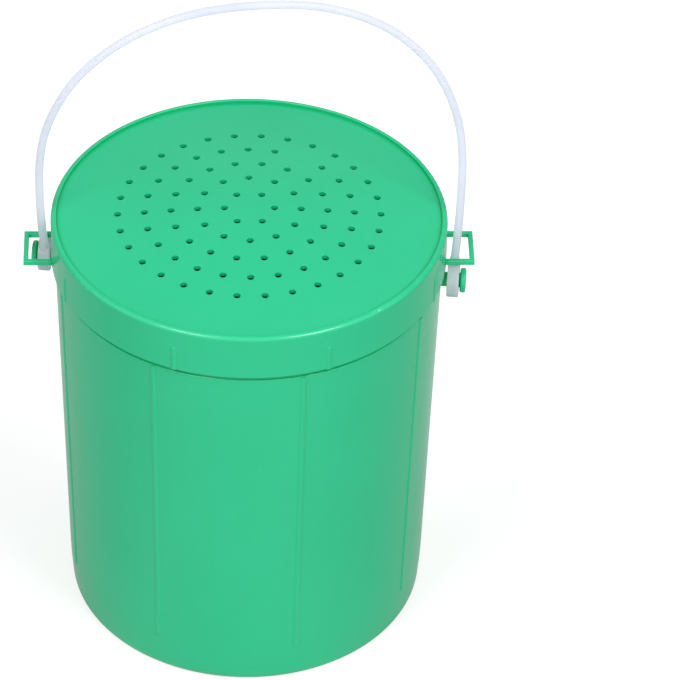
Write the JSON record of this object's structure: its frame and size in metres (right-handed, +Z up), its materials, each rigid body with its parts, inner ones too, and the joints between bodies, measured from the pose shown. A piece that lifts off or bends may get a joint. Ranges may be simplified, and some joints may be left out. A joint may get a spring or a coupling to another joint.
{
  "type": "bait bucket",
  "caption": "Round tapered tub with a push-on domed lid pierced by small vent holes, and an arched bail handle that runs through loops on the lid and turns on studs.",
  "frame": {"origin": "centre of the ring that the bucket stands on", "axes": "+Z up along the bucket's axis, +X along the axis of the two studs that carry the handle"},
  "size_m": [0.1726, 0.151, 0.2754],
  "materials": {
    "bucket_plastic": "glossy polypropylene, green",
    "lid_plastic": "glossy polypropylene, green",
    "handle_plastic": "unpigmented polypropylene, milky and slightly translucent"
  },
  "bodies": {
    "bucket": {"bucket": "bucket_plastic"},
    "lid": {"lid": "lid_plastic"},
    "handle": {"handle": "handle_plastic"}
  },
  "joints": [
    {"name": "lid_lift", "type": "slide", "parent": "bucket", "child": "lid", "axis": [0, 0, 1], "range_m": [0, 0.03]},
    {"name": "handle_swing", "type": "hinge", "parent": "bucket", "child": "handle", "pos_m": [0, 0, 0.1523], "axis": [1, 0, 0], "range_deg": [-5, 5]}
  ]
}
